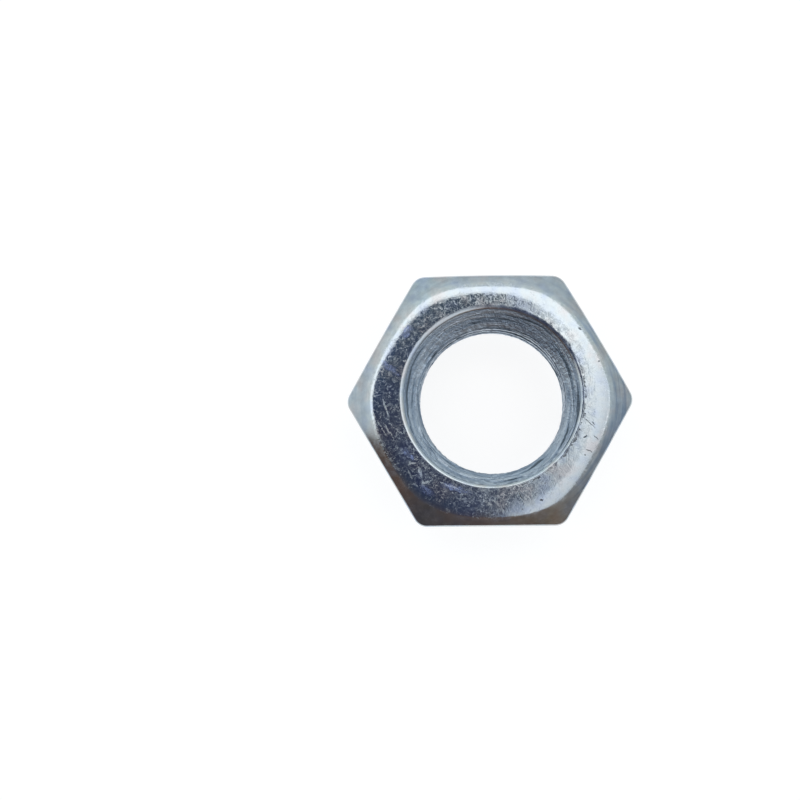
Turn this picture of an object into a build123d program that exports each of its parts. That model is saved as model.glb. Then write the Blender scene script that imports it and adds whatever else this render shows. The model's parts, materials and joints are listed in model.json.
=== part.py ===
from build123d import *
import math
import os

# Thin hexagon nut for a coarse M20 thread, in mm. It lies on one bearing face:
# the origin is the centre of that face and +Z runs up the thread's axis. Two
# flats face +Y and -Y, and two corners point to +X and -X.

# What drives the nut: its thread, its spanner size and its height
THREAD_DIAMETER = 20.0
PITCH = 2.5
ACROSS_FLATS = 30.0
THICKNESS = 10.0

# Outside. The corners of a full hexagon are turned down a little, and both ends
# are chamfered from the corners to a round bearing face inside the flats.
CORNER_TURNED_OFF = 0.54
ACROSS_CORNERS = ACROSS_FLATS / math.cos(math.pi / 6) - CORNER_TURNED_OFF
BEARING_STEP = 1.0
BEARING_DIAMETER = ACROSS_FLATS - 2 * BEARING_STEP
CHAMFER_ANGLE = 30.0
CHAMFER_DEPTH = (ACROSS_CORNERS - BEARING_DIAMETER) / 2 * math.tan(math.radians(CHAMFER_ANGLE))

# Hole. It is drilled a little wider than the thread's basic minor diameter, and
# each mouth is countersunk to just past the thread's outside, 120 degrees wide.
DRILL_ALLOWANCE = 0.2
MINOR_DIAMETER = THREAD_DIAMETER - 1.0825 * PITCH + DRILL_ALLOWANCE
MOUTH_ALLOWANCE = 1.6
MOUTH_DIAMETER = THREAD_DIAMETER + MOUTH_ALLOWANCE
MOUTH_SLOPE = 30.0
MOUTH_DEPTH = (MOUTH_DIAMETER - MINOR_DIAMETER) / 2 * math.tan(math.radians(MOUTH_SLOPE))

# Edges, rounded by tumbling before the nut was plated
SHOULDER_RADIUS = 1.0
LIP_RADIUS = 0.3
UPRIGHT_EDGE_RADIUS = 0.4


def corners_at(sketch, radius):
    return [corner for corner in sketch.vertices() if abs(corner.X - radius) < 0.001]


def half_section():
    # One side of the nut, from the hole's wall out to the turned corners
    bore = MINOR_DIAMETER / 2
    mouth = MOUTH_DIAMETER / 2
    bearing = BEARING_DIAMETER / 2
    corner = ACROSS_CORNERS / 2
    outline = Polyline(
        (bore, MOUTH_DEPTH),
        (mouth, 0),
        (bearing, 0),
        (corner, CHAMFER_DEPTH),
        (corner, THICKNESS - CHAMFER_DEPTH),
        (bearing, THICKNESS),
        (mouth, THICKNESS),
        (bore, THICKNESS - MOUTH_DEPTH),
        close=True,
    )
    section = fillet(corners_at(make_face(outline), mouth), LIP_RADIUS)
    return fillet(corners_at(section, bearing), SHOULDER_RADIUS)


def hexagon_bar():
    outline = RegularPolygon(radius=ACROSS_FLATS / 2, side_count=6, major_radius=False)
    return extrude(outline, amount=THICKNESS)


def upright_edges(nut):
    # Where the flats meet the turned corners, and not the seam of the hole's wall
    lines = nut.edges().filter_by(GeomType.LINE).filter_by(Axis.Z)
    middles = [(line, line.center()) for line in lines]
    return [line for line, middle in middles if math.hypot(middle.X, middle.Y) > BEARING_DIAMETER / 2]


def hex_nut():
    # Flats cut a turned blank, which leaves the arched edge over each flat
    turned_blank = revolve(Plane.XZ * half_section(), axis=Axis.Z)
    nut = turned_blank & hexagon_bar()
    return fillet(upright_edges(nut), UPRIGHT_EDGE_RADIUS)


os.makedirs("parts", exist_ok=True)
nut = hex_nut()
nut.label = "hex_nut"
export_step(nut, "parts/hex_nut.step")
box = nut.bounding_box().size
print("hex_nut", round(box.X, 3), round(box.Y, 3), round(box.Z, 3), "volume", round(nut.volume, 1))
print("hole radius", MINOR_DIAMETER / 2, "plain wall", THICKNESS - 2 * MOUTH_DEPTH)
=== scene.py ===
import json
import math

import bmesh
import bpy
from mathutils import Matrix, Vector


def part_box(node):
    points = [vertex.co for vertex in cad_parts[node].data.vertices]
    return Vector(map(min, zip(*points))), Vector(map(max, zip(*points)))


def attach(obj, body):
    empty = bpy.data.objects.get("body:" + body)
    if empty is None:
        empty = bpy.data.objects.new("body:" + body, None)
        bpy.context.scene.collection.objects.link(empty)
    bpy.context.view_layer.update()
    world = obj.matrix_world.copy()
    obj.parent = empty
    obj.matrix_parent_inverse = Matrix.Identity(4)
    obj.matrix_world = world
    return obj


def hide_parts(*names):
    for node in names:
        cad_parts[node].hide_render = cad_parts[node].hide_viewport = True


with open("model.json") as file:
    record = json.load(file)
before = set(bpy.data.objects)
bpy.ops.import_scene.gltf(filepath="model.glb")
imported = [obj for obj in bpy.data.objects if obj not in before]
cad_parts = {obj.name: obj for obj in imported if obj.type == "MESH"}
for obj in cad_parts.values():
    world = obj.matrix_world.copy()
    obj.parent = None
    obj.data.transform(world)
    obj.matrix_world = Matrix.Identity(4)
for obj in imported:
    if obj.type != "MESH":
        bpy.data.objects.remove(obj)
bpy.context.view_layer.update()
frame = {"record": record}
mm = 0.001

# What the frame gives: the nut's own box and the hole that is tapped in it
boxLow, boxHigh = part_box("hex_nut")
halfFlats = (boxHigh.y - boxLow.y) / 2
halfCorners = (boxHigh.x - boxLow.x) / 2
height = boxHigh.z - boxLow.z
mounts = {mount["name"]: mount for mount in frame["record"]["mounts"]}
boreRadius = mounts["thread"]["dims"]["r_mm"] * mm
boreWall = mounts["thread"]["dims"]["length_mm"] * mm


# Small helpers

def linear(hexColour):
    channels = [int(hexColour[i:i + 2], 16) / 255 for i in (1, 3, 5)]
    return [c / 12.92 if c <= 0.04045 else ((c + 0.055) / 1.055) ** 2.4 for c in channels] + [1]


def rampStops(colours):  # positions and hex colours, made ready for a colour ramp
    return [(position, linear(colour)) for position, colour in colours]


def addNode(tree, kind, settings, links=None):  # lower-case settings are the node's own, others are sockets
    node = tree.nodes.new(kind)
    for key, value in settings.items():
        if key == "stops":  # of a colour ramp: the position and the colour of each
            stops = node.color_ramp.elements
            stops[0].position, stops[0].color = value[0]
            stops[1].position, stops[1].color = value[-1]
            for position, colour in value[1:-1]:
                stops.new(position).color = colour
        elif isinstance(key, str) and key.islower():
            setattr(node, key, value)
        else:
            node.inputs[key].default_value = value
    for key, source in (links or {}).items():
        tree.links.new(source, node.inputs[key])
    return node


def newMaterial(name):
    material = bpy.data.materials.new(name)
    material.use_nodes = True
    material.node_tree.nodes.clear()
    return material, material.node_tree


def only(piece):  # makes one piece the selected and active one
    bpy.ops.object.select_all(action="DESELECT")
    piece.select_set(True)
    bpy.context.view_layer.objects.active = piece


def pickEdges(piece, test):  # in edit mode: selects the edges that pass the test, and counts them
    bpy.ops.mesh.select_all(action="DESELECT")
    bpy.ops.mesh.select_mode(type="EDGE")
    mesh = bmesh.from_edit_mesh(piece.data)
    found = [edge for edge in mesh.edges if test(edge)]
    for edge in found:
        edge.select_set(True)
    mesh.select_flush_mode()
    bmesh.update_edit_mesh(piece.data)
    return len(found)


def applied(piece, kind, **settings):  # adds a modifier with these settings and applies it
    only(piece)
    modifier = piece.modifiers.new(kind.lower(), kind)
    for key, value in settings.items():
        setattr(modifier, key, value)
    bpy.ops.object.modifier_apply(modifier=modifier.name)


def middle(edge):
    first, second = edge.verts
    return (first.co + second.co) / 2


def around(point):  # distance from the nut's axis
    return math.hypot(point.x, point.y)


def between(low, high, value):  # 0 at low, 1 at high
    return min(1, max(0, (value - low) / (high - low)))


def withinRing(radii, radius):  # 1 between the two middle radii, falling to 0 at the outer ones
    start, full, last, end = radii
    return between(start, full, radius) * (1 - between(last, end, radius))


def arc(centre, radius, start, end, steps):  # points on an arc in the half section, angles in degrees
    angles = [math.radians(start + (end - start) * i / steps) for i in range(steps + 1)]
    return [(centre[0] + radius * math.cos(a), centre[1] + radius * math.sin(a)) for a in angles]


def drawProfile(name, points):  # one vertex, extruded from point to point in the XZ plane
    bpy.ops.object.select_all(action="DESELECT")
    bpy.ops.mesh.primitive_plane_add(size=mm)
    piece = bpy.context.object
    piece.name = name
    bpy.ops.object.mode_set(mode="EDIT")
    bpy.ops.mesh.select_mode(type="VERT")
    bpy.ops.mesh.merge(type="CENTER")
    x, z = points[0]
    bpy.ops.transform.translate(value=(x, 0, z))
    for nextX, nextZ in points[1:]:
        step = {"value": (nextX - x, 0, nextZ - z)}
        bpy.ops.mesh.extrude_vertices_move(TRANSFORM_OT_translate=step)
        x, z = nextX, nextZ
    return piece


# Bright zinc plate on steel, clear-blue passivated. The nut was tumbled in a barrel, so the faces
# are covered in fine dimples that break a reflection into flecks, and the film over the zinc gives
# them a blue cast that varies from place to place.

plate = {
    "casts": ((0.34, "#BBC6D4"), (0.50, "#C6CFD3"), (0.66, "#CACBCC")),   # blue, zinc grey and warm grey
    "patch": 2.4 * mm,            # size of the patches of each cast
    "stain": "#97A8D4",           # where the film is thick
    "pitGrey": "#5A5F66",            # in the pits
    "fleck": 0.42 * mm,           # size of a dull fleck
    "fleckDepth": 0.004 * mm,
    "between": 0.90,              # how bright the colour is between the flecks, as a share
    "wave": 1.1 * mm,             # broader, gentler waves between the flecks
    "waveDepth": 0.004 * mm,
    "roughness": (0.08, 0.29),    # between the flecks and on them
    "scratch": 2.2 * mm,          # how far a long scratch runs before it turns
    "scratchWidth": 0.014,        # as a share of the noise that draws it
    "scratchDepth": 0.0015 * mm,
    "short": (0.75 * mm, 0.40 * mm, 0.055 * mm),   # short ones: spacing, half length, half width
    "shifts": (0.0, 0.33 * mm, 0.71 * mm),         # their three patterns lie this far apart
    "gougeDepth": 0.006 * mm,     # of the scratches that are placed one by one
    "pit": 1.5 * mm,              # distance between pits
    "pitRadius": 0.07,            # as a share of that distance
    "pitDepth": 0.02 * mm,
    "dull": (0.23, 0.40, 0.35),   # the least roughness of scratches, gouges and stains
}

# Marks on the upper face: middle, half length and half width in mm, and direction in degrees
marks = [
    ("stain", (-11.7, 3.8), (1.8, 0.50), -43),
    ("stain", (-9.8, -6.4), (1.4, 0.6), -48),
    ("stain", (-7.7, -10.7), (1.3, 0.7), -35),
    ("stain", (-4.2, -10.5), (2.3, 0.5), -18),
    ("stain", (-9.8, 8.2), (1.2, 0.6), 50),
    ("scratch", (-12.4, -0.9), (1.8, 0.14), -70),
    ("scratch", (-12.9, -3.3), (1.6, 0.13), -60),
    ("scratch", (-12.2, -3.4), (1.7, 0.13), -57),
    ("scratch", (-7.7, -9.7), (1.0, 0.22), 17),
    ("scratch", (-7.9, -10.3), (0.8, 0.19), -62),
    ("scratch", (-8.1, -9.9), (0.6, 0.19), 82),
    ("scratch", (-9.3, -7.5), (0.8, 0.22), 12),
    ("scratch", (-8.4, -8.4), (1.15, 0.22), -68),
    ("scratch", (-9.6, -8.8), (1.0, 0.20), -68),
    ("scratch", (-9.0, -10.0), (0.7, 0.18), -48),
    ("scratch", (-5.0, -10.1), (1.9, 0.12), -20),
    ("pit", (11.65, -6.2), (0.55, 0.05), -28),
    ("pit", (11.7, -2.8), (1.15, 0.05), -45),
    ("pit", (12.5, -4.6), (0.40, 0.05), -50),
    ("pit", (11.2, -4.5), (0.25, 0.12), 20),
    ("pit", (13.0, 4.5), (0.22, 0.10), 30),
    ("pit", (10.8, 8.4), (0.30, 0.12), -20),
    ("pit", (5.9, -12.0), (0.20, 0.17), 0),
    ("pit", (3.4, -11.4), (0.65, 0.07), -60),
    ("pit", (12.2, -2.9), (0.30, 0.05), -55),
]
markDepth = 0.5 * mm  # how far below the face a mark still shows

# Size and reach of the waves that make each kind of mark uneven in outline
wander = {
    "stain": (0.6 * mm, 0.9 * mm),
    "scratch": (0.45 * mm, 0.4 * mm),
    "pit": (0.5 * mm, 0.35 * mm),
}


def markMask(tree, place, kind):  # 1 well inside the marks of this kind, 0 from their outline on
    mask = None
    for name, spot, half, turn in marks:
        if name != kind:
            continue
        local = addNode(tree, "ShaderNodeMapping", {
            "vector_type": "TEXTURE",
            "Location": (spot[0] * mm, spot[1] * mm, height),
            "Rotation": (0, 0, math.radians(turn)),
            "Scale": (half[0] * mm, half[1] * mm, markDepth),
        }, {"Vector": place})
        away = addNode(tree, "ShaderNodeVectorMath", {"operation": "LENGTH"}, {0: local.outputs[0]})
        inside = addNode(tree, "ShaderNodeMapRange", {"From Min": 1.0, "From Max": 0.5},
                         {"Value": away.outputs["Value"]})
        if mask is None:
            mask = inside.outputs[0]
        else:
            mask = addNode(tree, "ShaderNodeMath", {"operation": "MAXIMUM"},
                           {0: mask, 1: inside.outputs[0]}).outputs[0]
    return mask


def wandered(tree, place, kind):  # the coordinates, pushed about so that a mark's outline isn't clean
    size, reach = wander[kind]
    noise = addNode(tree, "ShaderNodeTexNoise", {"Scale": 1 / size, "Detail": 2}, {"Vector": place})
    centred = addNode(tree, "ShaderNodeVectorMath", {"operation": "SUBTRACT", 1: (0.5, 0.5, 0.5)},
                      {0: noise.outputs["Color"]})
    scaled = addNode(tree, "ShaderNodeVectorMath", {"operation": "SCALE", "Scale": reach},
                     {0: centred.outputs[0]})
    return addNode(tree, "ShaderNodeVectorMath", {"operation": "ADD"},
                   {0: place, 1: scaled.outputs[0]}).outputs[0]


def zincColour(tree, place):  # zinc grey that drifts to blue and to a faint warm grey
    patches = addNode(tree, "ShaderNodeTexNoise", {"Scale": 1 / plate["patch"], "Detail": 3},
                      {"Vector": place})
    return addNode(tree, "ShaderNodeValToRGB", {"stops": rampStops(plate["casts"])},
                   {"Fac": patches.outputs["Fac"]}).outputs["Color"]


def fromAxis(tree, place, centre):  # the level way to each place from the upright axis through centre
    across = addNode(tree, "ShaderNodeVectorMath", {"operation": "SUBTRACT", 1: tuple(centre)}, {0: place})
    return addNode(tree, "ShaderNodeVectorMath", {"operation": "MULTIPLY", 1: (1, 1, 0)},
                   {0: across.outputs[0]}).outputs[0]


# On one side of the hole the countersink tore the face in a ragged line just outside its lip

tear = {
    "radius": 11.02 * mm,         # the circle it starts at
    "start": 0.05 * mm,           # it is at its full depth this far out
    "reach": 0.50 * mm,           # how far out its points run
    "point": 0.32 * mm,           # their size
    "stretch": 1.4 * mm,          # size of the stretches where they run out further
    "stretchShare": 0.9,          # how much that counts beside the points
    "outline": (0.80, 0.92),      # the sum of both between which it sets in
    "depth": 0.85,                # as a share of a pit's
    "side": -28,                  # degrees, its middle
    "fade": (6.6 * mm, 9.0 * mm),   # it grows over this stretch towards that side
}


def tearMask(tree, place):  # above 0 in the tear
    level = fromAxis(tree, place, blank["mouthOff"])
    radius = addNode(tree, "ShaderNodeVectorMath", {"operation": "LENGTH"}, {0: level})
    off = addNode(tree, "ShaderNodeMath", {"operation": "SUBTRACT", 1: tear["radius"]},
                  {0: radius.outputs["Value"]}).outputs[0]
    start = addNode(tree, "ShaderNodeMapRange", {"From Min": 0.0, "From Max": tear["start"]}, {"Value": off})
    points = addNode(tree, "ShaderNodeTexNoise", {"Scale": 1 / tear["point"], "Detail": 3},
                     {"Vector": place})
    stretches = addNode(tree, "ShaderNodeTexNoise", {"Scale": 1 / tear["stretch"], "Detail": 1},
                        {"Vector": place})
    reach = addNode(tree, "ShaderNodeMath", {"operation": "MULTIPLY_ADD", 1: -0.5 / tear["reach"]},
                    {0: off, 2: points.outputs["Fac"]})
    reach = addNode(tree, "ShaderNodeMath", {"operation": "MULTIPLY_ADD", 1: tear["stretchShare"]},
                    {0: stretches.outputs["Fac"], 2: reach.outputs[0]})
    ragged = addNode(tree, "ShaderNodeMapRange",
                     {"From Min": tear["outline"][0], "From Max": tear["outline"][1],
                      "To Max": tear["depth"]}, {"Value": reach.outputs[0]})
    side = math.radians(tear["side"])
    along = addNode(tree, "ShaderNodeVectorMath",
                    {"operation": "DOT_PRODUCT", 1: (math.cos(side), math.sin(side), 0)}, {0: level})
    sector = addNode(tree, "ShaderNodeMapRange", {"From Min": tear["fade"][0], "From Max": tear["fade"][1]},
                     {"Value": along.outputs["Value"]})
    both = addNode(tree, "ShaderNodeMath", {"operation": "MULTIPLY"},
                   {0: ragged.outputs[0], 1: sector.outputs[0]})
    return addNode(tree, "ShaderNodeMath", {"operation": "MULTIPLY"},
                   {0: both.outputs[0], 1: start.outputs[0]}).outputs[0]


def shortScratches(tree, place, shift):  # one short scratch in each cell of a pattern, turned at random
    # Each is where a nearly upright plane through the cell's point cuts the face, and it fades at its ends
    spacing, length, width = plate["short"]
    moved = addNode(tree, "ShaderNodeVectorMath", {"operation": "ADD", 1: (shift, shift, shift)},
                    {0: place}).outputs[0]
    cells = addNode(tree, "ShaderNodeTexVoronoi", {"Scale": 1 / spacing}, {"Vector": moved})
    local = addNode(tree, "ShaderNodeVectorMath", {"operation": "SUBTRACT"},
                    {0: moved, 1: cells.outputs["Position"]})
    turn = addNode(tree, "ShaderNodeVectorMath", {"operation": "SUBTRACT", 1: (0.5, 0.5, 0.5)},
                   {0: cells.outputs["Color"]})
    turn = addNode(tree, "ShaderNodeVectorMath", {"operation": "MULTIPLY", 1: (1, 1, 0.4)},
                   {0: turn.outputs[0]})
    turn = addNode(tree, "ShaderNodeVectorMath", {"operation": "NORMALIZE"}, {0: turn.outputs[0]})
    off = addNode(tree, "ShaderNodeVectorMath", {"operation": "DOT_PRODUCT"},
                  {0: local.outputs[0], 1: turn.outputs[0]})
    off = addNode(tree, "ShaderNodeMath", {"operation": "ABSOLUTE"}, {0: off.outputs["Value"]})
    across = addNode(tree, "ShaderNodeMapRange", {"From Min": width, "From Max": 0.0},
                     {"Value": off.outputs[0]})
    along = addNode(tree, "ShaderNodeMapRange",
                    {"From Min": length / spacing, "From Max": 0.6 * length / spacing},
                    {"Value": cells.outputs["Distance"]})
    return addNode(tree, "ShaderNodeMath", {"operation": "MULTIPLY"},
                   {0: across.outputs[0], 1: along.outputs[0]}).outputs[0]


def platedSteel(tree, colour, roughness, relief):  # bare metal: each pattern in relief has its height
    heights = None
    for pattern, rise in relief:
        links = {0: pattern} if heights is None else {0: pattern, 2: heights}
        heights = addNode(tree, "ShaderNodeMath", {"operation": "MULTIPLY_ADD", 1: rise, 2: 0.0},
                          links).outputs[0]
    bump = addNode(tree, "ShaderNodeBump", {"Distance": 1.0}, {"Height": heights})
    shader = addNode(tree, "ShaderNodeBsdfPrincipled", {"Metallic": 1.0},
                     {"Base Color": colour, "Roughness": roughness, "Normal": bump.outputs["Normal"]})
    addNode(tree, "ShaderNodeOutputMaterial", {}, {"Surface": shader.outputs["BSDF"]})


def tumbledPlate():  # the bearing faces and the flats
    material, tree = newMaterial("tumbled_zinc_plate")
    place = addNode(tree, "ShaderNodeTexCoord", {}).outputs["Object"]
    colour = zincColour(tree, place)

    flecks = addNode(tree, "ShaderNodeTexNoise",
                     {"Scale": 1 / plate["fleck"], "Detail": 3, "Roughness": 0.55, "Distortion": 1.2},
                     {"Vector": place}).outputs["Fac"]
    waves = addNode(tree, "ShaderNodeTexNoise", {"Scale": 1 / plate["wave"], "Detail": 1},
                    {"Vector": place}).outputs["Fac"]

    # Long scratches follow the contour of a slow noise, and the waves break them up
    route = addNode(tree, "ShaderNodeTexNoise",
                    {"Scale": 1 / plate["scratch"], "Detail": 1, "Distortion": 1.5}, {"Vector": place})
    offLine = addNode(tree, "ShaderNodeMath", {"operation": "SUBTRACT", 1: 0.5},
                      {0: route.outputs["Fac"]})
    offLine = addNode(tree, "ShaderNodeMath", {"operation": "ABSOLUTE"}, {0: offLine.outputs[0]})
    line = addNode(tree, "ShaderNodeMapRange", {"From Min": plate["scratchWidth"], "From Max": 0.0},
                   {"Value": offLine.outputs[0]})
    broken = addNode(tree, "ShaderNodeMapRange", {"From Min": 0.50, "From Max": 0.56}, {"Value": waves})
    scratches = addNode(tree, "ShaderNodeMath", {"operation": "MULTIPLY"},
                        {0: line.outputs[0], 1: broken.outputs[0]}).outputs[0]
    for shift in plate["shifts"]:
        scratches = addNode(tree, "ShaderNodeMath", {"operation": "MAXIMUM"},
                            {0: scratches, 1: shortScratches(tree, place, shift)}).outputs[0]

    # The placed scratches are fainter between the flecks
    gouges = markMask(tree, wandered(tree, place, "scratch"), "scratch")
    uneven = addNode(tree, "ShaderNodeMapRange", {"From Min": 0.40, "From Max": 0.58, "To Min": 0.6},
                     {"Value": flecks})
    gouges = addNode(tree, "ShaderNodeMath", {"operation": "MULTIPLY"},
                     {0: gouges, 1: uneven.outputs[0]}).outputs[0]

    nearby = wandered(tree, place, "pit")
    cells = addNode(tree, "ShaderNodeTexVoronoi", {"Scale": 1 / plate["pit"]}, {"Vector": nearby})
    pits = addNode(tree, "ShaderNodeMapRange",
                   {"From Min": plate["pitRadius"], "From Max": plate["pitRadius"] * 0.5},
                   {"Value": cells.outputs["Distance"]}).outputs[0]
    for mask in (markMask(tree, nearby, "pit"), tearMask(tree, place)):
        pits = addNode(tree, "ShaderNodeMath", {"operation": "MAXIMUM"}, {0: pits, 1: mask}).outputs[0]

    # The stains are thinner on the flecks
    stains = markMask(tree, wandered(tree, place, "stain"), "stain")
    thin = addNode(tree, "ShaderNodeMapRange",
                   {"From Min": 0.36, "From Max": 0.60, "To Min": 1.0, "To Max": 0.4}, {"Value": flecks})
    stains = addNode(tree, "ShaderNodeMath", {"operation": "MULTIPLY"},
                     {0: stains, 1: thin.outputs[0]}).outputs[0]

    colour = addNode(tree, "ShaderNodeMix", {"data_type": "RGBA", 7: linear(plate["stain"])},
                     {0: stains, 6: colour}).outputs[2]
    shade = addNode(tree, "ShaderNodeMapRange",
                    {"From Min": 0.3, "From Max": 0.6, "To Min": plate["between"]}, {"Value": flecks})
    colour = addNode(tree, "ShaderNodeMix", {"data_type": "RGBA", "blend_type": "MULTIPLY", 0: 1.0},
                     {6: colour, 7: shade.outputs[0]}).outputs[2]
    # A dark grey where the pits and the tear sink in
    colour = addNode(tree, "ShaderNodeMix", {"data_type": "RGBA", 7: linear(plate["pitGrey"])},
                     {0: pits, 6: colour}).outputs[2]

    roughness = addNode(tree, "ShaderNodeMapRange",
                        {"From Min": 0.44, "From Max": 0.68, "To Min": plate["roughness"][0],
                         "To Max": plate["roughness"][1]}, {"Value": flecks}).outputs[0]
    for mask, least in zip((scratches, gouges, stains), plate["dull"]):
        dull = addNode(tree, "ShaderNodeMath", {"operation": "MULTIPLY", 1: least}, {0: mask})
        roughness = addNode(tree, "ShaderNodeMath", {"operation": "MAXIMUM"},
                            {0: roughness, 1: dull.outputs[0]}).outputs[0]

    platedSteel(tree, colour, roughness, (
        (flecks, plate["fleckDepth"]),
        (waves, plate["waveDepth"]),
        (scratches, -plate["scratchDepth"]),
        (gouges, -plate["gougeDepth"]),
        (pits, -plate["pitDepth"]),
    ))
    return material


# The chamfers and the lips of the countersinks were turned. The tool's fine rings still show as a
# satin sheen, and the film over them as broader bands of blue.

turning = {
    "feed": 0.12 * mm,            # distance between the tool's rings
    "ringDepth": 0.0015 * mm,
    "streak": (9.0 * mm, 0.55 * mm),   # length and width of the film's bands
    "lean": (1, 0),               # across the bands: shares of the radius and of the height
    "bands": ((0.36, "#D4DDEA"), (0.46, "#F1F3F8"), (0.56, "#FFFFFF")),   # how they tint the zinc
    "bandSide": (8 * mm, 13 * mm),     # over this stretch of x they grow from faint to strong
    "bandShare": (0.3, 1.0),
    "cloud": 0.9 * mm,            # size of the cloudy patches
    "cloudDepth": 0.006 * mm,
    "cloudShade": (0.90, 1.08),   # how bright the colour is in the darkest and in the palest
    "roughness": (0.14, 0.24),    # and how rough
}


def drawnRound(tree, place, centre, circle, finish):  # coordinates for a noise that runs round the hole
    # They go round on a circle, in steps of the streak's length, and across it in steps of its width
    length, width = finish["streak"]
    outShare, upShare = finish["lean"]
    level = fromAxis(tree, place, centre)
    radius = addNode(tree, "ShaderNodeVectorMath", {"operation": "LENGTH"}, {0: level})
    ring = addNode(tree, "ShaderNodeVectorMath", {"operation": "NORMALIZE"}, {0: level})
    ring = addNode(tree, "ShaderNodeVectorMath", {"operation": "SCALE", "Scale": circle / length},
                   {0: ring.outputs[0]})
    rise = addNode(tree, "ShaderNodeVectorMath", {"operation": "DOT_PRODUCT", 1: (0, 0, upShare / width)},
                   {0: place})
    rise = addNode(tree, "ShaderNodeMath", {"operation": "MULTIPLY_ADD", 1: outShare / width},
                   {0: radius.outputs["Value"], 2: rise.outputs["Value"]})
    rise = addNode(tree, "ShaderNodeCombineXYZ", {}, {2: rise.outputs[0]})
    return addNode(tree, "ShaderNodeVectorMath", {"operation": "ADD"},
                   {0: ring.outputs[0], 1: rise.outputs[0]}).outputs[0]


def turnedPlate():
    material, tree = newMaterial("turned_zinc_plate")
    place = addNode(tree, "ShaderNodeTexCoord", {}).outputs["Object"]
    colour = zincColour(tree, place)
    bands = addNode(tree, "ShaderNodeTexNoise", {"Scale": 1.0, "Detail": 2, "Roughness": 0.6},
                    {"Vector": drawnRound(tree, place, Vector(), blank["bearingRadius"], turning)})
    tint = addNode(tree, "ShaderNodeValToRGB", {"stops": rampStops(turning["bands"])},
                   {"Fac": bands.outputs["Fac"]})
    right = addNode(tree, "ShaderNodeVectorMath", {"operation": "DOT_PRODUCT", 1: (1, 0, 0)}, {0: place})
    strength = addNode(tree, "ShaderNodeMapRange",
                       {"From Min": turning["bandSide"][0], "From Max": turning["bandSide"][1],
                        "To Min": turning["bandShare"][0], "To Max": turning["bandShare"][1]},
                       {"Value": right.outputs["Value"]})
    colour = addNode(tree, "ShaderNodeMix", {"data_type": "RGBA", "blend_type": "MULTIPLY"},
                     {0: strength.outputs[0], 6: colour, 7: tint.outputs["Color"]}).outputs[2]
    clouds = addNode(tree, "ShaderNodeTexNoise", {"Scale": 1 / turning["cloud"], "Detail": 4},
                     {"Vector": place}).outputs["Fac"]
    shade = addNode(tree, "ShaderNodeMapRange",
                    {"From Min": 0.3, "From Max": 0.7, "To Min": turning["cloudShade"][0],
                     "To Max": turning["cloudShade"][1]}, {"Value": clouds})
    colour = addNode(tree, "ShaderNodeMix", {"data_type": "RGBA", "blend_type": "MULTIPLY", 0: 1.0},
                     {6: colour, 7: shade.outputs[0]}).outputs[2]
    roughness = addNode(tree, "ShaderNodeMapRange",
                        {"From Min": 0.35, "From Max": 0.65, "To Min": turning["roughness"][0],
                         "To Max": turning["roughness"][1]}, {"Value": clouds})
    radius = addNode(tree, "ShaderNodeVectorMath", {"operation": "LENGTH"},
                     {0: fromAxis(tree, place, Vector())})
    ring = addNode(tree, "ShaderNodeMath", {"operation": "DIVIDE", 1: turning["feed"]},
                   {0: radius.outputs["Value"]})
    rings = addNode(tree, "ShaderNodeTexNoise",
                    {"noise_dimensions": "1D", "Scale": 1.0, "Detail": 2}, {"W": ring.outputs[0]})
    platedSteel(tree, colour, roughness.outputs[0], (
        (rings.outputs["Fac"], turning["ringDepth"]),
        (clouds, turning["cloudDepth"]),
    ))
    return material


# The countersink and thread are rougher: the tools drag long torn streaks round the hole. Their colour is
# darker than the faces' all over, which is painted shade for the depth of the hole

tapped = {
    # The torn lines, rough and sunk in the relief, whose dark grey is painted shade in their grooves;
    # then blue and zinc grey, darker than on the faces as painted shade in the hole
    "casts": ((0.37, "#68747F"), (0.42, "#9AABBE"), (0.58, "#BFCBD6")),
    "streak": (8.0 * mm, 0.36 * mm),   # length round the hole and width
    "lean": (0.5, 0.87),               # across the streaks: shares of the radius and of the height
    "streakDepth": 0.11 * mm,
    "chip": 0.35 * mm,                 # size of the chips torn out between them
    "chipDepth": 0.10 * mm,
    "roughness": (0.26, 0.48),         # on the plate and in the torn lines
}


def tappedPlate():
    material, tree = newMaterial("tapped_zinc_plate_painted_shade")
    place = addNode(tree, "ShaderNodeTexCoord", {}).outputs["Object"]
    drawn = drawnRound(tree, place, blank["boreOff"], tap["rootRadius"], tapped)
    streaks = addNode(tree, "ShaderNodeTexNoise",
                      {"Scale": 1.0, "Detail": 3, "Roughness": 0.6, "Distortion": 0.5},
                      {"Vector": drawn}).outputs["Fac"]
    chips = addNode(tree, "ShaderNodeTexNoise",
                    {"Scale": 1 / tapped["chip"], "Detail": 3, "Roughness": 0.6, "Distortion": 0.8},
                    {"Vector": place}).outputs["Fac"]
    # Dark where the streaks sink: painted shade in the torn grooves, and over it all painted shade in the
    # hole
    colour = addNode(tree, "ShaderNodeValToRGB", {"stops": rampStops(tapped["casts"])}, {"Fac": streaks})
    roughness = addNode(tree, "ShaderNodeMapRange",
                        {"From Min": 0.35, "From Max": 0.65, "To Min": tapped["roughness"][1],
                         "To Max": tapped["roughness"][0]}, {"Value": streaks})
    platedSteel(tree, colour.outputs["Color"], roughness.outputs[0], (
        (streaks, tapped["streakDepth"]),
        (chips, tapped["chipDepth"]),
    ))
    return material


# The nut: a turned blank, cut to a hexagon, its edges softened, then tapped

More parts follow.
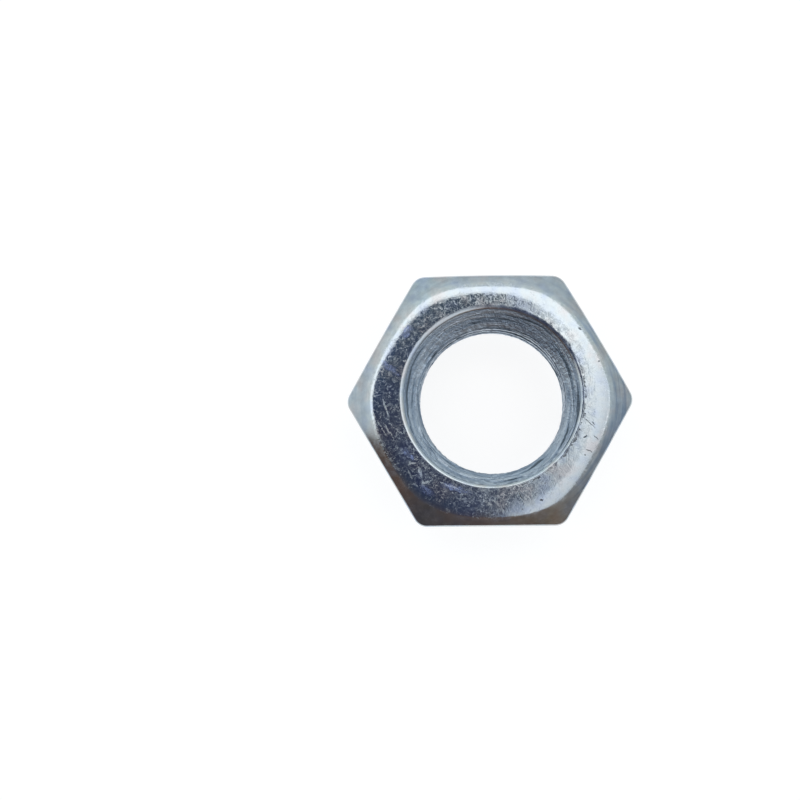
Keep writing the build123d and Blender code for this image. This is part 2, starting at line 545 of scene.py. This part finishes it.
blank = {
    "slope": 30,                  # degrees, of the chamfer
    "lipTop": 11.0 * mm,          # where the worn edge of the countersink starts to fall
    "lipRadius": 0.85 * mm,
    "lipSlope": 34,               # degrees, as far as that edge falls
    "stepSlope": 66,              # degrees, of the little step below it
    "stepLength": 0.07 * mm,
    "crownStart": 12.5 * mm,      # the face is flat up to here, then falls away
    "crownSlope": 9,              # degrees, where the fall ends
    "bearingRadius": 14.0 * mm,   # where the chamfer's cone meets the face's plane
    "edgeRadius": 3.0 * mm,       # between the crown and the chamfer
    "spare": 0.1 * mm,            # what is turned larger than the bar's corners
    "lobe": 0.20 * mm,            # how far the bar's flats draw the crown in
    "rowWidth": 0.15 * mm,        # mesh rows on the face
    "coneRows": 10,               # on the countersink
    "lipRows": 8,
    "edgeRows": 4,
    "steps": 480,                 # mesh steps round the axis
    "weld": 0.002 * mm,           # vertices closer than this become one
    "cuts": 48,                   # planes that cut the flats and the bar's rounded corners
    "cutWeld": 0.0001 * mm,       # vertices this near to a plane count as on it
    "mouthOff": Vector((0.18, 0.46, 0)) * mm,   # how far the upper countersink ran out
    "boreOff": Vector((0.35, 0, 0)) * mm,       # and the bore
    "edgeRound": 0.22 * mm,       # tumbling rounds the arched edges
    "edgeRoundSteps": 3,
    "sharp": 20,                  # degrees, from which an edge counts as one of them
    "creased": 35,                # degrees, from which an edge isn't shaded smooth
}
halfFlat = math.pi / 6                   # half of the angle that one flat takes up
onFace, onChamfer, onThread = range(3)   # the nut's finishes, in the order of its material slots


def endSection():  # from the bore's wall, over the upper end, to the outer wall
    lip = blank["lipRadius"]
    lipCentre = (blank["lipTop"], height - lip)
    footX, footZ = stepFoot()
    wallZ = (height + boreWall) / 2
    coneRows = blank["coneRows"]
    points = [(boreRadius + (footX - boreRadius) * i / coneRows, wallZ + (footZ - wallZ) * i / coneRows)
              for i in range(coneRows + 1)]
    points += arc(lipCentre, lip, 90 + blank["lipSlope"], 90, blank["lipRows"])
    rows = round((blank["crownStart"] - blank["lipTop"]) / blank["rowWidth"])
    step = (blank["crownStart"] - blank["lipTop"]) / rows
    points += [(blank["lipTop"] + step * i, height) for i in range(1, rows)]
    # The crown is an arc from level to its own slope, met by a smaller one that turns into the chamfer
    slope = math.radians(blank["slope"])
    crownAngle = math.radians(blank["crownSlope"])
    edge = blank["edgeRadius"]
    reach = crownReach()
    crownCentre = (blank["crownStart"], height - reach / math.sin(crownAngle))
    points += arc(crownCentre, height - crownCentre[1], 90, 90 - blank["crownSlope"],
                  round(reach / blank["rowWidth"]))
    endX, endZ = points[-1]
    edgeCentre = (endX - edge * math.sin(crownAngle), endZ - edge * math.cos(crownAngle))
    points += arc(edgeCentre, edge, 90 - blank["crownSlope"], 90 - blank["slope"], blank["edgeRows"])[1:]
    outside = halfCorners + blank["spare"]
    return points + [(outside, height - (outside - blank["bearingRadius"]) * math.tan(slope))]


def stepFoot():  # the bottom of the little step inside the lip, where the countersink's cone starts
    fall = math.radians(blank["lipSlope"])
    steep = math.radians(blank["stepSlope"])
    lip = blank["lipRadius"]
    x = blank["lipTop"] - lip * math.sin(fall) - blank["stepLength"] * math.cos(steep)
    return x, height - lip * (1 - math.cos(fall)) - blank["stepLength"] * math.sin(steep)


def crownReach():  # how far the crown runs out for its end to lie on the chamfer's cone
    slope = math.radians(blank["slope"])
    crownAngle = math.radians(blank["crownSlope"])
    edge = blank["edgeRadius"]
    edgeRun = edge * (math.sin(slope) - math.sin(crownAngle))
    edgeDrop = edge * (math.cos(crownAngle) - math.cos(slope))
    before = (blank["bearingRadius"] - blank["crownStart"] - edgeRun) * math.tan(slope)
    return (before + edgeDrop) / (math.tan(slope) - math.tan(crownAngle / 2))


def turnBlank():
    upper = endSection()
    lower = [(x, height - z) for x, z in reversed(upper)]
    piece = drawProfile("hex_nut_plated", upper + lower + upper[:1])
    bpy.ops.mesh.select_all(action="SELECT")
    bpy.ops.mesh.spin(steps=blank["steps"], angle=2 * math.pi, center=(0, 0, 0), axis=(0, 0, 1))
    bpy.ops.mesh.select_all(action="SELECT")
    bpy.ops.mesh.remove_doubles(threshold=blank["weld"])
    bpy.ops.mesh.normals_make_consistent(inside=False)
    bpy.ops.object.mode_set(mode="OBJECT")
    for finish in (facePlate, chamferPlate, threadPlate):
        piece.data.materials.append(finish)
    steepest = math.cos(math.radians((blank["crownSlope"] + blank["slope"]) / 2))
    inside = blank["lipTop"] - blank["lipRadius"] * math.sin(math.radians(blank["lipSlope"]))
    for polygon in piece.data.polygons:
        radius = around(polygon.center)
        if radius < inside:
            polygon.material_index = onThread
        elif radius < blank["lipTop"] or abs(polygon.normal.z) < steepest:
            polygon.material_index = onChamfer
        else:
            polygon.material_index = onFace
    return piece


def drawIn(piece):  # the crown's outline is drawn in a little at the middle of each flat
    for vert in piece.data.vertices:
        radius = around(vert.co)
        share = between(blank["crownStart"], blank["bearingRadius"], radius)
        share *= 1 - between(halfFlats, halfCorners, radius)
        wave = math.cos(6 * (math.atan2(vert.co.y, vert.co.x) - halfFlat))
        factor = 1 - blank["lobe"] * share * wave / radius
        vert.co.x *= factor
        vert.co.y *= factor


def runOut(piece):  # drill and countersink ran a little off the bar's axis
    mouth = blank["lipTop"]
    for vert in piece.data.vertices:
        radius = around(vert.co)
        bore = 1 - between(boreRadius, mouth, radius)
        face = 1 - between(mouth, blank["crownStart"], radius)
        mouthOff = blank["mouthOff"] if vert.co.z > height / 2 else blank["boreOff"]
        vert.co += (blank["boreOff"] * bore + mouthOff * (1 - bore)) * face


def cutFlats(piece):  # six flats, and between them the planes that round the bar's corners
    sharp = halfFlats / math.cos(halfFlat)
    bend = (sharp - halfCorners) / (1 / math.cos(halfFlat) - 1)
    bendCentre = halfCorners - bend
    only(piece)
    bpy.ops.object.mode_set(mode="EDIT")
    for i in range(blank["cuts"]):
        angle = 2 * math.pi * i / blank["cuts"]
        fromCorner = (angle + halfFlat) % (2 * halfFlat) - halfFlat
        outward = Vector((math.cos(angle), math.sin(angle), 0))
        distance = bendCentre * math.cos(fromCorner) + bend
        bpy.ops.mesh.select_all(action="SELECT")
        bpy.ops.mesh.bisect(plane_co=outward * distance, plane_no=outward, use_fill=True,
                            clear_outer=True, threshold=blank["cutWeld"])
    bpy.ops.object.mode_set(mode="OBJECT")


def softenEdges(piece):
    def arched(edge):
        bent = edge.calc_face_angle(0) > math.radians(blank["sharp"])
        return bent and around(middle(edge)) > blank["bearingRadius"]

    only(piece)
    bpy.ops.object.mode_set(mode="EDIT")
    pickEdges(piece, arched)
    bpy.ops.mesh.bevel(offset=blank["edgeRound"], segments=blank["edgeRoundSteps"], affect="EDGES",
                       clamp_overlap=False)
    bpy.ops.object.mode_set(mode="OBJECT")
    for polygon in piece.data.polygons:  # the flats are tumbled bright, like the faces
        upright = abs(polygon.normal.z) < 0.5
        if upright and around(polygon.center) > blank["bearingRadius"]:
            polygon.material_index = onFace


# The tap: the groove's section, swept up the helix of a coarse right-hand thread

tap = {
    "rootRadius": 10.0 * mm,
    "pitch": 2.5 * mm,
    "flank": 30,                  # degrees, from the thread's radius
    "rootRound": 0.18 * mm,
    "crestRound": 0.16 * mm,      # torn and plated over, so the crests aren't sharp
    "inside": 0.6 * mm,           # how far the section reaches into the empty hole
    "turns": 6,
    "steps": 216,                 # mesh steps in one turn
    "runOutAngle": 5,             # degrees, where the groove leaves the upper countersink
    "runOutDepth": 0.306 * mm,    # the groove's centre there, below the upper face
    "weld": 0.004 * mm,           # vertices closer than this become one
    "burr": 0.07 * mm,            # how far it raised the edge where the groove breaks the countersink
    "burrSharp": 60,              # degrees, the least angle of that edge
    "burrFrom": 0.2 * mm,         # it starts this far outside the bore's wall
    "burrNear": 0.25 * mm,        # and stays this near to the countersink's cone
    "torn": 0.14 * mm,            # how ragged it left the thread
    "tornSize": 0.45 * mm,
    "tornInside": (10.0 * mm, 10.2 * mm),   # radii between which that fades out
}


def grooveSection():  # its bottom is flat over an eighth of the pitch, and its flanks run out to the crests
    slope = math.tan(math.radians(tap["flank"]))
    root = tap["rootRadius"]
    crest = boreRadius
    rootHalf = tap["pitch"] / 16
    crestHalf = rootHalf + (root - crest) * slope
    # Both ends of a flank are rounded by points at shares of the radius there
    bend = tap["rootRound"]
    flare = tap["crestRound"]
    rootX = root - bend * 0.25
    rootZ = rootHalf + bend * 0.05
    crestX = crest + flare * 0.5
    crestZ = crestHalf - flare * 0.5 * slope
    flankPoints = [(rootX + (crestX - rootX) * i / 4, rootZ + (crestZ - rootZ) * i / 4) for i in range(5)]
    half = [(root, rootHalf * 0.5)] + flankPoints + [
        (crest + flare * 0.12, crestHalf + flare * 0.13),
        (crest - flare * 0.05, crestHalf + flare * 0.5),
        (crest - tap["inside"], crestHalf + flare * 0.5),
    ]
    return [(x, -z) for x, z in half] + [(x, z) for x, z in reversed(half)]


def makeTap():
    section = grooveSection()
    piece = drawProfile("tap", section + section[:1])
    bpy.ops.mesh.select_all(action="SELECT")
    bpy.ops.mesh.remove_doubles(threshold=blank["weld"])
    bpy.ops.object.mode_set(mode="OBJECT")
    applied(piece, "SCREW", axis="Z", angle=2 * math.pi, screw_offset=tap["pitch"],
            iterations=tap["turns"], steps=tap["steps"], render_steps=tap["steps"],
            use_smooth_shade=False)
    bpy.ops.object.mode_set(mode="EDIT")
    bpy.ops.mesh.select_all(action="SELECT")
    bpy.ops.mesh.fill_holes(sides=0)
    bpy.ops.mesh.select_all(action="SELECT")
    bpy.ops.mesh.normals_make_consistent(inside=False)
    bpy.ops.object.mode_set(mode="OBJECT")
    start = height - tap["runOutDepth"] - (tap["turns"] - 1) * tap["pitch"]
    piece.rotation_euler.z = math.radians(tap["runOutAngle"])
    piece.location = blank["boreOff"] + Vector((0, 0, start))
    bpy.ops.object.transform_apply(location=True, rotation=True, scale=True)
    piece.data.materials.append(threadPlate)
    return piece


def tapHole(piece):
    tool = makeTap()
    applied(piece, "BOOLEAN", operation="DIFFERENCE", object=tool, solver="MANIFOLD",
            material_mode="TRANSFER")
    bpy.data.objects.remove(tool)
    bpy.ops.object.mode_set(mode="EDIT")
    bpy.ops.mesh.select_all(action="SELECT")
    bpy.ops.mesh.remove_doubles(threshold=tap["weld"])
    footX, footZ = stepFoot()
    fall = (footZ - (height + boreWall) / 2) / (footX - boreRadius)

    def onCountersink(edge):
        spot = middle(edge)
        radius = around(spot - blank["boreOff"])
        depth = footZ - (footX - radius) * fall - spot.z
        onCone = boreRadius + tap["burrFrom"] < radius < footX and abs(depth) < tap["burrNear"]
        return onCone and edge.calc_face_angle(0) > math.radians(tap["burrSharp"])

    print("torn edge:", pickEdges(piece, onCountersink), "mesh edges")
    bpy.ops.transform.translate(value=(0, 0, tap["burr"]))
    bpy.ops.object.mode_set(mode="OBJECT")


def ruffle(piece, name, size, strength, weigh):  # displaces the vertices by the share that weigh gives them
    group = piece.vertex_groups.new(name=name)
    for vert in piece.data.vertices:
        share = weigh(vert)
        if share > 0:
            group.add([vert.index], share, "REPLACE")
    pattern = bpy.data.textures.new(name, "CLOUDS")
    pattern.noise_scale = size
    pattern.cloud_type = "COLOR"
    applied(piece, "DISPLACE", texture=pattern, vertex_group=name, strength=strength,
            direction="RGB_TO_XYZ", mid_level=0.5, texture_coords="LOCAL")
    piece.vertex_groups.remove(piece.vertex_groups[name])
    bpy.data.textures.remove(pattern)


# Wear: the faces aren't quite flat after the tumbling, and the countersink's edge is chewed on the right

tumbled = {
    "size": 1.3 * mm,
    "depth": 0.006 * mm,
    "ring": (11.0 * mm, 11.3 * mm, 14.2 * mm, 14.6 * mm),   # radii between which it fades in and out
}
chewed = {
    "size": 0.6 * mm,
    "depth": 0.05 * mm,
    "ring": (10.7 * mm, 10.95 * mm, 11.1 * mm, 11.4 * mm),
    "side": (4.0 * mm, 8.0 * mm),   # it grows over this stretch of x
    "left": 0.1,                    # what is left of it on the other side
    "underside": 0.3,               # and on the lower face
}


def tornShare(vert):
    return 1 - between(*tap["tornInside"], around(vert.co - blank["boreOff"]))


def tumbledShare(vert):
    return withinRing(tumbled["ring"], around(vert.co))


def chewedShare(vert):
    fromMouth = vert.co - blank["mouthOff"]
    share = withinRing(chewed["ring"], around(fromMouth))
    if vert.co.z < height / 2:
        share *= chewed["underside"]
    return share * (chewed["left"] + (1 - chewed["left"]) * between(*chewed["side"], fromMouth.x))


def smooth(piece):
    only(piece)
    bpy.ops.object.shade_smooth_by_angle(angle=math.radians(blank["creased"]))
    applied(piece, "WEIGHTED_NORMAL", keep_sharp=True, mode="FACE_AREA_WITH_ANGLE")


facePlate = tumbledPlate()
chamferPlate = turnedPlate()
threadPlate = tappedPlate()
print("plating ready")

nut = turnBlank()
drawIn(nut)
runOut(nut)
print("blank turned:", len(nut.data.polygons), "faces")
cutFlats(nut)
softenEdges(nut)
print("flats cut:", len(nut.data.polygons), "faces")
tapHole(nut)
print("hole tapped:", len(nut.data.polygons), "faces")
ruffle(nut, "torn_thread", tap["tornSize"], tap["torn"], tornShare)
ruffle(nut, "tumbled_face", tumbled["size"], tumbled["depth"], tumbledShare)
ruffle(nut, "chewed_rim", chewed["size"], chewed["depth"], chewedShare)
smooth(nut)
print("wear added")

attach(nut, "root")
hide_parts("hex_nut")


# The set: a white table, a pale room, one softbox overhead, and the dark things that bright
# metal mirrors, which are the camera itself and a brown wall behind the lower left

stage = {
    "table": 3.0,                          # metres across
    "tablePaint": "#F4F4F4",
    "tableGlow": 0.86,                     # how white the table looks by itself
    "tableShaded": 0.23,                   # how much the light on it adds, so that a shadow shows
    # How bright the room is in red, green and blue: level and below, 30 degrees up, and straight up
    "room": ((0.0, (0.90, 0.91, 0.92, 1)), (0.5, (0.58, 0.70, 0.79, 1)), (1.0, (0.53, 0.53, 0.54, 1))),
    "softboxMiddle": Vector((0.085, 0.167, 0.81)),
    "softboxSize": (1.17, 0.59),
    "softboxRadiance": 1.0,
    "wallRadius": 0.70,
    # For its foot and its top: how bright in red, green and blue, how far out and how high, as shares
    "wallRows": (((0.75, 0.75, 0.75), 1.0, 0.02), ((1.36, 1.30, 1.20), 0.45, 0.72)),
    "overhead": 0.25,                      # height of the camera's front
}

# How bright the wall round the set is, half way up, by the direction in degrees
wall = [
    (0, (0.43, 0.50, 0.58)), (30, (0.53, 0.59, 0.63)), (60, (0.57, 0.65, 0.72)),
    (90, (0.63, 0.68, 0.73)), (120, (0.61, 0.72, 0.79)), (150, (0.67, 0.71, 0.76)),
    (180, (0.64, 0.72, 0.80)), (196, (0.64, 0.70, 0.76)),
    (199, (0.120, 0.078, 0.062)), (220, (0.112, 0.076, 0.068)), (240, (0.071, 0.063, 0.068)),
    (270, (0.111, 0.081, 0.082)),
    (300, (0.193, 0.148, 0.113)), (330, (0.255, 0.275, 0.313)), (360, (0.43, 0.50, 0.58)),
]


def makeTable():
    bpy.ops.object.select_all(action="DESELECT")
    bpy.ops.mesh.primitive_plane_add(size=stage["table"])
    table = bpy.context.object
    table.name = "table"
    material, tree = newMaterial("white_table")
    paint = addNode(tree, "ShaderNodeBsdfDiffuse", {"Color": linear(stage["tablePaint"])})
    shaded = addNode(tree, "ShaderNodeBsdfDiffuse", {"Color": (*[stage["tableShaded"]] * 3, 1)})
    glow = addNode(tree, "ShaderNodeEmission", {"Strength": stage["tableGlow"]})
    white = addNode(tree, "ShaderNodeAddShader", {}, {0: shaded.outputs[0], 1: glow.outputs[0]})
    rays = addNode(tree, "ShaderNodeLightPath", {})
    seen = addNode(tree, "ShaderNodeMath", {"operation": "MAXIMUM"},
                   {0: rays.outputs["Is Camera Ray"], 1: rays.outputs["Is Glossy Ray"]})
    seen = addNode(tree, "ShaderNodeMath", {"operation": "MAXIMUM"},
                   {0: seen.outputs[0], 1: rays.outputs["Is Transmission Ray"]})
    mixed = addNode(tree, "ShaderNodeMixShader", {},
                    {0: seen.outputs[0], 1: paint.outputs[0], 2: white.outputs[0]})
    addNode(tree, "ShaderNodeOutputMaterial", {}, {"Surface": mixed.outputs[0]})
    table.data.materials.append(material)


def makeCard(name, rows, blocks=False):  # a sheet that reflections see: rows of points, each with its colour
    bpy.ops.object.select_all(action="DESELECT")
    bpy.ops.mesh.primitive_grid_add(size=1, x_subdivisions=len(rows[0]) - 1, y_subdivisions=len(rows) - 1)
    card = bpy.context.object
    card.name = name
    shades = card.data.color_attributes.new("shade", "FLOAT_COLOR", "POINT")
    points = [point for row in rows for point in row]
    for vert, spot, (place, colour) in zip(card.data.vertices, shades.data, points, strict=True):
        vert.co = place
        spot.color = (*colour, 1)
    material, tree = newMaterial(name)
    shade = addNode(tree, "ShaderNodeVertexColor", {"layer_name": "shade"})
    glow = addNode(tree, "ShaderNodeEmission", {}, {"Color": shade.outputs["Color"]})
    addNode(tree, "ShaderNodeOutputMaterial", {}, {"Surface": glow.outputs[0]})
    card.data.materials.append(material)
    card.visible_camera = False
    card.visible_diffuse = False
    card.visible_shadow = blocks


def makeRoom():
    world = bpy.data.worlds.new("pale_room")
    bpy.context.scene.world = world
    world.use_nodes = True
    tree = world.node_tree
    tree.nodes.clear()
    place = addNode(tree, "ShaderNodeTexCoord", {})
    parts = addNode(tree, "ShaderNodeSeparateXYZ", {}, {0: place.outputs["Generated"]})
    ramp = addNode(tree, "ShaderNodeValToRGB", {"stops": stage["room"]}, {"Fac": parts.outputs["Z"]})
    glow = addNode(tree, "ShaderNodeBackground", {}, {"Color": ramp.outputs["Color"]})
    addNode(tree, "ShaderNodeOutputWorld", {}, {"Surface": glow.outputs[0]})


def makeSoftbox():
    data = bpy.data.lights.new("softbox", "AREA")
    data.shape = "RECTANGLE"
    data.size, data.size_y = stage["softboxSize"]
    data.energy = stage["softboxRadiance"] * math.pi * data.size * data.size_y
    softbox = bpy.data.objects.new("softbox", data)
    softbox.location = stage["softboxMiddle"]
    softbox.visible_camera = False
    bpy.context.scene.collection.objects.link(softbox)


def makeWall():  # a ring that stands round the set and leans in, pale but for a dark brown stretch
    rows = []
    for fall, out, up in stage["wallRows"]:
        row = []
        for (angle, shade), (nextAngle, nextShade) in zip(wall, wall[1:]):
            for end in (0, 0.5, 1):
                turn = math.radians(angle + (nextAngle - angle) * end)
                place = Vector((math.cos(turn) * out, math.sin(turn) * out, up)) * stage["wallRadius"]
                row.append((place, [(a + (b - a) * end) * c for a, b, c in zip(shade, nextShade, fall)]))
        rows.append(row)
    makeCard("wall", rows)


# The camera's dark front, close over the nut, and its blurred right edge. Right of that the sheet glows
# as bright as the softbox, in a band brighter still: painted light for the metal to mirror. x and y in mm,
# and colour
cameraFrontAndGlow = [
    [(-170, -170, (0.10, 0.09, 0.10)), (-64, -170, (0.08, 0.07, 0.09)), (-19, -170, (0.08, 0.07, 0.10)),
     (14, -170, (0.11, 0.10, 0.11)), (20, -170, (0.42, 0.46, 0.54)), (30, -170, (0.60, 0.64, 0.70)),
     (50, -170, (1.0, 1.0, 1.0)), (140, -170, (0.8, 0.84, 0.9))],
    [(-170, -50, (0.10, 0.09, 0.10)), (-64, -50, (0.04, 0.055, 0.10)), (-12, -50, (0.05, 0.065, 0.115)),
     (13, -50, (0.10, 0.10, 0.14)), (18, -50, (0.42, 0.46, 0.54)), (25, -50, (0.56, 0.62, 0.70)),
     (36, -50, (1.0, 1.0, 1.04)), (140, -50, (0.8, 0.84, 0.9))],
    [(-110, -8, (0.04, 0.05, 0.10)), (-64, -8, (0.045, 0.05, 0.095)), (-6, -8, (0.045, 0.055, 0.105)),
     (13, -8, (0.11, 0.12, 0.17)), (17, -8, (0.44, 0.48, 0.54)), (24, -8, (0.42, 0.47, 0.54)),
     (32, -8, (1.12, 1.16, 1.22)), (140, -8, (0.85, 0.88, 0.94))],
    [(-110, 16, (0.05, 0.07, 0.13)), (-64, 16, (0.05, 0.07, 0.12)), (-6, 16, (0.06, 0.07, 0.12)),
     (13, 16, (0.13, 0.14, 0.18)), (16, 16, (0.46, 0.50, 0.57)), (21, 16, (0.80, 0.84, 0.90)),
     (27, 16, (1.36, 1.36, 1.36)), (140, 16, (0.85, 0.88, 0.94))],
    [(-100, 40, (0.07, 0.10, 0.18)), (-52, 42, (0.08, 0.11, 0.18)), (-19, 41, (0.08, 0.11, 0.16)),
     (14, 41, (0.09, 0.11, 0.14)), (16.5, 41, (0.66, 0.72, 0.82)), (18.5, 41, (1.44, 1.46, 1.48)),
     (21, 41, (1.75, 1.75, 1.75)), (140, 41, (0.85, 0.88, 0.94))],
    [(-100, 50, (0.10, 0.13, 0.21)), (-50, 68, (0.10, 0.13, 0.20)), (-27, 76, (0.10, 0.13, 0.18)),
     (11, 62, (0.10, 0.13, 0.16)), (14, 62, (0.66, 0.72, 0.80)), (16.5, 62, (1.36, 1.38, 1.40)),
     (19, 62, (1.65, 1.65, 1.65)), (140, 62, (0.9, 0.92, 0.96))],
]


def makeCameraFrontAndGlow():
    rows = [[(Vector((x * mm, y * mm, stage["overhead"])), colour) for x, y, colour in row]
            for row in cameraFrontAndGlow]
    makeCard("camera_front_and_glow", rows, blocks=True)


makeTable()
makeRoom()
makeSoftbox()
makeWall()
makeCameraFrontAndGlow()


photo = {
    "place": Vector((-6.3, -16.1, 250.0)) * mm,
    "target": Vector((-10.73, 0.09, 10.0)) * mm,   # beside the nut: the picture has it right of its middle
    "up": Vector((0.0108, 0.9977, 0.0671)),
    "lens": 91.0,                                  # in mm, like the sensor's width
    "sensor": 36.0,
    "nearest": 5 * mm,                             # what is nearer isn't drawn
}


def makeCamera():
    data = bpy.data.cameras.new("camera")
    data.lens = photo["lens"]
    data.sensor_width = photo["sensor"]
    data.clip_start = photo["nearest"]
    camera = bpy.data.objects.new("camera", data)
    camera.location = photo["place"]
    back = (photo["place"] - photo["target"]).normalized()
    right = photo["up"].cross(back).normalized()
    camera.rotation_mode = "QUATERNION"
    camera.rotation_quaternion = Matrix((right, back.cross(right), back)).transposed().to_quaternion()
    bpy.context.scene.collection.objects.link(camera)
    bpy.context.scene.camera = camera


makeCamera()
bpy.context.scene.view_settings.view_transform = "Standard"
print("set and camera ready")
